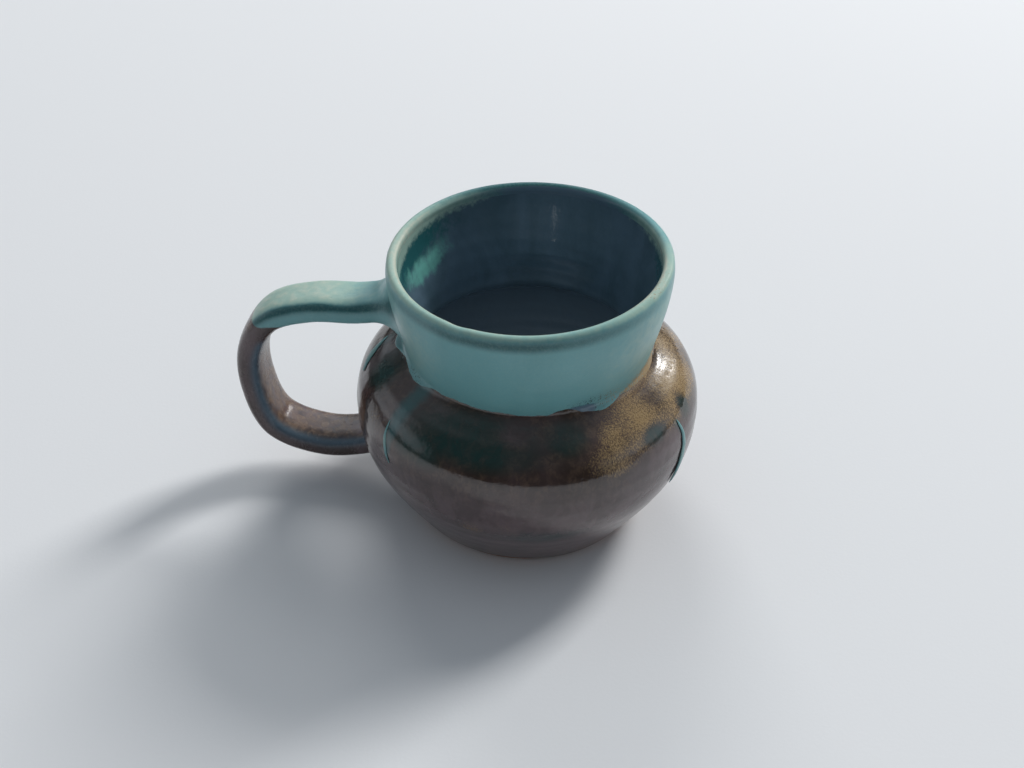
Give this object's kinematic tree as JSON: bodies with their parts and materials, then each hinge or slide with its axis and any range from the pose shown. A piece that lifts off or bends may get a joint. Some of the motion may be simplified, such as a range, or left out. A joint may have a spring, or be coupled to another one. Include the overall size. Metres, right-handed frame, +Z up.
{
  "type": "ceramic mug",
  "caption": "Hand-thrown stoneware mug with a round belly, a pinched neck, a tall collar and a pulled strap handle, glazed teal over brown with a navy liner.",
  "frame": {"origin": "centre of the flat foot, on the surface that the mug stands on", "axes": "+Z up through the mouth; the handle points along -X; +Y completes the right-handed frame"},
  "size_m": [0.1467, 0.1074, 0.0924],
  "materials": {
    "stoneware": "matte",
    "teal_glaze": "satin",
    "brown_glaze": "gloss",
    "navy_glaze": "gloss"
  },
  "bodies": {
    "root": {"thrown_body": "stoneware", "pulled_handle": "stoneware", "upper_handle_joint": "stoneware", "lower_handle_joint": "stoneware", "collar_glaze": "teal_glaze", "handle_teal_glaze": "teal_glaze", "left_glaze_run": "teal_glaze", "rear_glaze_run": "teal_glaze", "right_glaze_run": "teal_glaze", "belly_glaze": "brown_glaze", "handle_brown_glaze": "brown_glaze", "liner_glaze": "navy_glaze"}
  },
  "joints": []
}
